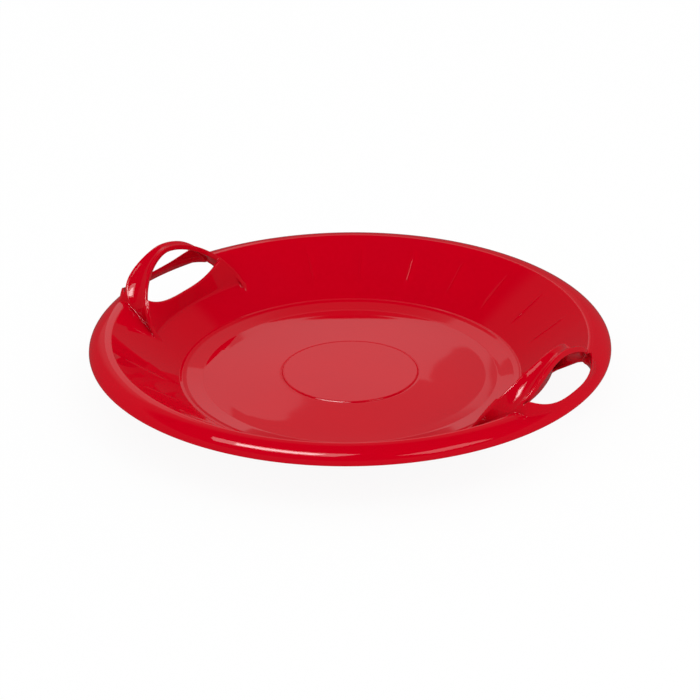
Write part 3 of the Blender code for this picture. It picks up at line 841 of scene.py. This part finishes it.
def red_plastic(name):
    """Principled plastic with ripple, grain and slightly rubbed places."""
    material = bpy.data.materials.new(name)
    material.use_nodes = True
    tree = material.node_tree
    shader = tree.nodes["Principled BSDF"]
    shader.inputs["IOR"].default_value = PLASTIC_IOR
    shader.inputs["Specular IOR Level"].default_value = PLASTIC_SPECULAR
    places = tree.nodes.new("ShaderNodeTexCoord").outputs["Object"]
    rub = noise_node(tree, places, RUB_SCALE, RUB_DETAIL, "rubbed places")
    duller = tree.nodes.new("ShaderNodeMapRange")
    duller.inputs["From Min"].default_value = RUB_STARTS
    duller.inputs["From Max"].default_value = RUB_ENDS
    duller.inputs["To Min"].default_value = NEW_ROUGHNESS
    duller.inputs["To Max"].default_value = RUBBED_ROUGHNESS
    link(tree, rub.outputs["Fac"], duller.inputs["Value"])
    link(tree, duller.outputs["Result"], shader.inputs["Roughness"])
    tint = tree.nodes.new("ShaderNodeMix")
    tint.data_type = "RGBA"
    tint.inputs["A"].default_value = RED
    tint.inputs["B"].default_value = DEEP_RED
    link(tree, rub.outputs["Fac"], tint.inputs["Factor"])
    link(tree, tint.outputs["Result"], shader.inputs["Base Color"])
    ripple = noise_node(tree, places, RIPPLE_SCALE, RIPPLE_DETAIL, "slow ripple")
    grain = noise_node(tree, places, GRAIN_SCALE, GRAIN_DETAIL, "fine grain")
    slow = bump_node(tree, ripple.outputs["Fac"], RIPPLE_STRENGTH, RIPPLE_DEPTH)
    fine = bump_node(tree, grain.outputs["Fac"], GRAIN_STRENGTH, GRAIN_DEPTH)
    link(tree, slow.outputs["Normal"], fine.inputs["Normal"])
    link(tree, fine.outputs["Normal"], shader.inputs["Normal"])
    return material


# %% [markdown]
# There is nothing that moves, so every piece rides on the root. The dish stands in for two nodes of the
# frame, which are parted only where the floor meets the wall, and each hand hold stands in for its own.

# %% Pieces on the frame
pieces = (
    (dish, ("saucer_floor", "saucer_wall"), "saucer_wall_plastic"),
    (left_hold, ("left_handle",), "left_handle_plastic"),
    (right_hold, ("right_handle",), "right_handle_plastic"),
)
for piece, nodes, slot_name in pieces:
    piece.data.materials.append(red_plastic(slot_name + "_look"))
    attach(piece, "root")
    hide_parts(*nodes)
print("pieces:", [piece.name for piece, nodes, slot_name in pieces])

# %% [markdown]
# The sled stands on a pale floor in a white studio. The floor is a diffuse plane that keeps the object's
# shadow. For the camera most of its brightness is a plain white of its own, so that it stays white without
# more light on the object, and the shadow is faint, as in the photograph. The gloss mirrors a duller floor.

# %% Floor
FLOOR_HALF = 6.0
FLOOR_COLOUR = (0.93, 0.93, 0.93, 1.0)
FLOOR_ROUGHNESS = 0.9
FLOOR_WHITE_SHARE = 0.93
MIRRORED_FLOOR = 0.10

floor_corners = np.array([[-1, -1, 0], [1, -1, 0], [1, 1, 0], [-1, 1, 0]]) * FLOOR_HALF
floor = new_mesh_object("studio_floor", floor_corners, [np.array([[0, 1, 2, 3]])])
floor_material = bpy.data.materials.new("pale_floor")
floor_material.use_nodes = True
floor_tree = floor_material.node_tree
floor_shader = floor_tree.nodes["Principled BSDF"]
floor_shader.inputs["Base Color"].default_value = FLOOR_COLOUR
floor_shader.inputs["Roughness"].default_value = FLOOR_ROUGHNESS
floor_shader.inputs["Specular IOR Level"].default_value = 0.0
floor_rays = floor_tree.nodes.new("ShaderNodeLightPath")
own_white = floor_tree.nodes.new("ShaderNodeEmission")
seen_directly = floor_tree.nodes.new("ShaderNodeMath")
seen_directly.operation = "MAXIMUM"
link(floor_tree, floor_rays.outputs["Is Camera Ray"], seen_directly.inputs[0])
link(floor_tree, floor_rays.outputs["Is Transmission Ray"], seen_directly.inputs[1])
white_share = floor_tree.nodes.new("ShaderNodeMath")
white_share.operation = "MULTIPLY_ADD"
white_share.inputs[1].default_value = FLOOR_WHITE_SHARE
link(floor_tree, seen_directly.outputs["Value"], white_share.inputs[0])
link(floor_tree, floor_rays.outputs["Is Glossy Ray"], white_share.inputs[2])
brightness = floor_tree.nodes.new("ShaderNodeMix")
brightness.inputs["A"].default_value = 1.0
brightness.inputs["B"].default_value = MIRRORED_FLOOR
link(floor_tree, floor_rays.outputs["Is Glossy Ray"], brightness.inputs["Factor"])
link(floor_tree, brightness.outputs["Result"], own_white.inputs["Strength"])
blend = floor_tree.nodes.new("ShaderNodeMixShader")
link(floor_tree, white_share.outputs["Value"], blend.inputs["Fac"])
link(floor_tree, floor_shader.outputs["BSDF"], blend.inputs[1])
link(floor_tree, own_white.outputs["Emission"], blend.inputs[2])
link(floor_tree, blend.outputs["Shader"], floor_tree.nodes["Material Output"].inputs["Surface"])
floor.data.materials.append(floor_material)
print("floor nodes:", len(floor_tree.nodes))

# %% [markdown]
# The light is a white room. Diffuse light comes evenly from all round. What the gloss mirrors is laid out
# like the cards of a product shot, by direction: a dim room that ends in a black ceiling, a bright card
# behind the sled, a taller card to the left of it, and a soft glow round both. The cards show as bright
# parts with clear edges in the disc and the floor. Headings are counted in degrees from straight behind
# the sled as the camera sees it, positive to the right. They are turned to the camera's heading once,
# here, and then belong to the room: they stay put when the view changes.

# %% Sizes of the room
CAMERA_TURN = math.radians(33.23)
WHITE = (1.0, 1.0, 1.0, 1.0)
DIFFUSE_LEVEL = 1.0
ROOM_LEVEL = 0.10
GLOW_LEVEL = 0.15
CARD_LEVEL = 0.52
EDGE = 0.06
BELOW_ALL = -91
CEILING = 44
CEILING_EDGE = 3
GLOW_HEADINGS = (-22, 9)
GLOW_SIDE_EDGE = 5
GLOW_ELEVATIONS = (17, 37)
GLOW_TOP_EDGE = 2
BACK_CARD_HEADINGS = (-12, 3.8)
BACK_CARD_BOTTOM = 17
BACK_CARD_TOP = 27.6
BACK_CARD_SLANT = 1.35
SLANT_STARTS = -1.5
SIDE_CARD_LEFT = -15
SIDE_CARD_RIGHT = -3.2
SIDE_CARD_ELEVATIONS = (12, 36)
SIDE_CARD_TOP_EDGE = 0.5
SIDE_CARD_LEAN = 0.6
LEAN_STARTS = 28.5

# %% [markdown]
# The world's shader is worked out from the direction that a ray leaves in. Two helpers make its nodes: one
# for sums, and one for a band between two bounds with soft edges.

# %% Helpers for the world
world = bpy.data.worlds.new("white_room")
bpy.context.scene.world = world
world.use_nodes = True
world_tree = world.node_tree
background = world_tree.nodes["Background"]
background.inputs["Color"].default_value = WHITE


def maths(operation, *values):
    """Math node on numbers or sockets."""
    node = world_tree.nodes.new("ShaderNodeMath")
    node.operation = operation
    for socket, value in zip(node.inputs, values):
        if isinstance(value, (int, float)):
            socket.default_value = value
        else:
            link(world_tree, value, socket)
    return node.outputs["Value"]


def between(value, low, high, soft=EDGE):
    """1 between two bounds and 0 outside them, with eased edges, as a product of two soft steps."""
    steps = []
    for bound, sign in ((low, 1), (high, -1)):
        step = world_tree.nodes.new("ShaderNodeMapRange")
        step.interpolation_type = "SMOOTHSTEP"
        step.inputs["From Min"].default_value = -soft
        step.inputs["From Max"].default_value = soft
        past_bound = maths("MULTIPLY", maths("SUBTRACT", value, bound), sign)
        link(world_tree, past_bound, step.inputs["Value"])
        steps.append(step.outputs["Result"])
    return maths("MULTIPLY", *steps)


# %% [markdown]
# The direction is turned by the camera's heading and read as two angles. The back card's top edge slants
# down to the left, and the side card's right edge leans to the right higher up. The gloss sees the brighter
# of the cards and the room.

# %% Mirrored cards
turned = world_tree.nodes.new("ShaderNodeMapping")
turned.inputs["Rotation"].default_value = (0, 0, -CAMERA_TURN)
direction = world_tree.nodes.new("ShaderNodeTexCoord").outputs["Generated"]
link(world_tree, direction, turned.inputs["Vector"])
split = world_tree.nodes.new("ShaderNodeSeparateXYZ")
link(world_tree, turned.outputs["Vector"], split.inputs["Vector"])
to_degrees = math.degrees(1)
heading = maths("MULTIPLY", maths("ARCTAN2", split.outputs["X"], split.outputs["Y"]), to_degrees)
elevation = maths("MULTIPLY", maths("ARCSINE", split.outputs["Z"]), to_degrees)

past_left = maths("MAXIMUM", maths("SUBTRACT", SLANT_STARTS, heading), 0)
card_top = maths("SUBTRACT", BACK_CARD_TOP, maths("MULTIPLY", past_left, BACK_CARD_SLANT))
back_card_up = between(elevation, BACK_CARD_BOTTOM, card_top)
back_card = maths("MULTIPLY", between(heading, *BACK_CARD_HEADINGS), back_card_up)
above = maths("MAXIMUM", maths("SUBTRACT", elevation, LEAN_STARTS), 0)
side_edge = maths("ADD", SIDE_CARD_RIGHT, maths("MULTIPLY", above, SIDE_CARD_LEAN))
side_card_up = between(elevation, *SIDE_CARD_ELEVATIONS, SIDE_CARD_TOP_EDGE)
side_card = maths("MULTIPLY", between(heading, SIDE_CARD_LEFT, side_edge), side_card_up)
cards = maths("MULTIPLY", maths("MAXIMUM", back_card, side_card), CARD_LEVEL)
glow_across = between(heading, *GLOW_HEADINGS, GLOW_SIDE_EDGE)
glow = maths("MULTIPLY", glow_across, between(elevation, *GLOW_ELEVATIONS, GLOW_TOP_EDGE))
room = maths("MULTIPLY", between(elevation, BELOW_ALL, CEILING, CEILING_EDGE), ROOM_LEVEL)
room = maths("ADD", room, maths("MULTIPLY", glow, GLOW_LEVEL))
mirrored_light = maths("MAXIMUM", cards, room)
print("card nodes:", len(world_tree.nodes))

# %% [markdown]
# Which light a ray meets depends on its kind. The camera, also through a see-through piece, sees plain
# white. The gloss sees the cards, and everything else gets the even light of the room.

# %% Light by kind of ray
rays = world_tree.nodes.new("ShaderNodeLightPath")
mirrored = world_tree.nodes.new("ShaderNodeMix")
mirrored.inputs["A"].default_value = DIFFUSE_LEVEL
link(world_tree, rays.outputs["Is Glossy Ray"], mirrored.inputs["Factor"])
link(world_tree, mirrored_light, mirrored.inputs["B"])
seen_straight = maths("MAXIMUM", rays.outputs["Is Camera Ray"], rays.outputs["Is Transmission Ray"])
seen = world_tree.nodes.new("ShaderNodeMix")
seen.inputs["B"].default_value = 1.0
link(world_tree, seen_straight, seen.inputs["Factor"])
link(world_tree, mirrored.outputs["Result"], seen.inputs["A"])
link(world_tree, seen.outputs["Result"], background.inputs["Strength"])
print("world nodes:", len(world_tree.nodes))

# %% [markdown]
# Three lamps finish the light. A softbox, made of a bright core and a wider and fainter rim, hangs close
# above the near left of the sled: the streak on the near lip is its mirror image, and the far wall is too
# far round to mirror it, as in the photograph. It is kept out of the diffuse light, because the white room
# gives that evenly. A third lamp further off shades the forms a little.

# %% Lamps
STREAK_SPOT = Vector((-0.27, -0.18, 0.85))
STREAK_TARGET = Vector((-0.15, -0.24, 0.05))
RIM_LIFT = Vector((0, 0, 0.001))
CORE_SIZE = (0.15, 0.34)
CORE_POWER = 1.5
RIM_SIZE = (0.27, 0.56)
RIM_POWER = 1.3
SHAPING_SPOT = Vector((1.04, -0.6, 2.08))
SHAPING_TARGET = Vector((0, 0, 0.05))
SHAPING_SIZE = (1.0, 0.7)
SHAPING_POWER = 4


def soft_lamp(name, spot, target, size, power, mirrored_only):
    """Area lamp at a spot in the camera's heading, facing a target. The size is its width and length."""
    lamp = bpy.data.lights.new(name, "AREA")
    lamp.shape = "RECTANGLE"
    lamp.size, lamp.size_y = size
    lamp.energy = power
    thing = bpy.data.objects.new(name, lamp)
    heading_turn = Matrix.Rotation(CAMERA_TURN, 3, "Z")
    thing.location = heading_turn @ spot
    back = heading_turn @ (spot - target)
    thing.rotation_euler = back.to_track_quat("Z", "Y").to_euler()
    thing.visible_diffuse = not mirrored_only
    bpy.context.scene.collection.objects.link(thing)


soft_lamp("streak_softbox_core", STREAK_SPOT, STREAK_TARGET, CORE_SIZE, CORE_POWER, True)
soft_lamp("streak_softbox_rim", STREAK_SPOT + RIM_LIFT, STREAK_TARGET, RIM_SIZE, RIM_POWER, True)
soft_lamp("shaping_softbox", SHAPING_SPOT, SHAPING_TARGET, SHAPING_SIZE, SHAPING_POWER, False)
print("lamps:", len(bpy.data.lights))

# %% [markdown]
# The camera repeats the photograph's view: from the front right of the sled, about 26 degrees above the
# horizon, through a long lens. The shift is the small offset of the lens in the photograph.

# %% Camera
CAMERA_LIFT = math.radians(25.94)
CAMERA_ROLL = math.radians(-0.48)
CAMERA_DISTANCE = 2.736
AIM_HEIGHT = 0.0461
FOCAL_PIXELS = 2370
FRAME_PIXELS = 700
SENSOR = 36.0
SHIFT_PIXELS = -6.88

ahead = Vector((0, math.cos(CAMERA_LIFT), -math.sin(CAMERA_LIFT)))
across = Vector((1, 0, 0))
up = across.cross(ahead)
right = across * math.cos(CAMERA_ROLL) + up * math.sin(CAMERA_ROLL)
top = up * math.cos(CAMERA_ROLL) - across * math.sin(CAMERA_ROLL)
stance = Matrix((right, top, -ahead)).transposed().to_4x4()
place = Vector((0, 0, AIM_HEIGHT)) - ahead * CAMERA_DISTANCE
lens = bpy.data.cameras.new("studio_camera")
lens.sensor_width = SENSOR
lens.lens = SENSOR * FOCAL_PIXELS / FRAME_PIXELS
lens.shift_y = SHIFT_PIXELS / FRAME_PIXELS
camera = bpy.data.objects.new("studio_camera", lens)
camera.matrix_world = Matrix.Rotation(CAMERA_TURN, 4, "Z") @ Matrix.Translation(place) @ stance
bpy.context.scene.collection.objects.link(camera)
bpy.context.scene.camera = camera
bpy.context.scene.view_settings.view_transform = "Standard"
print("focal length:", lens.lens)
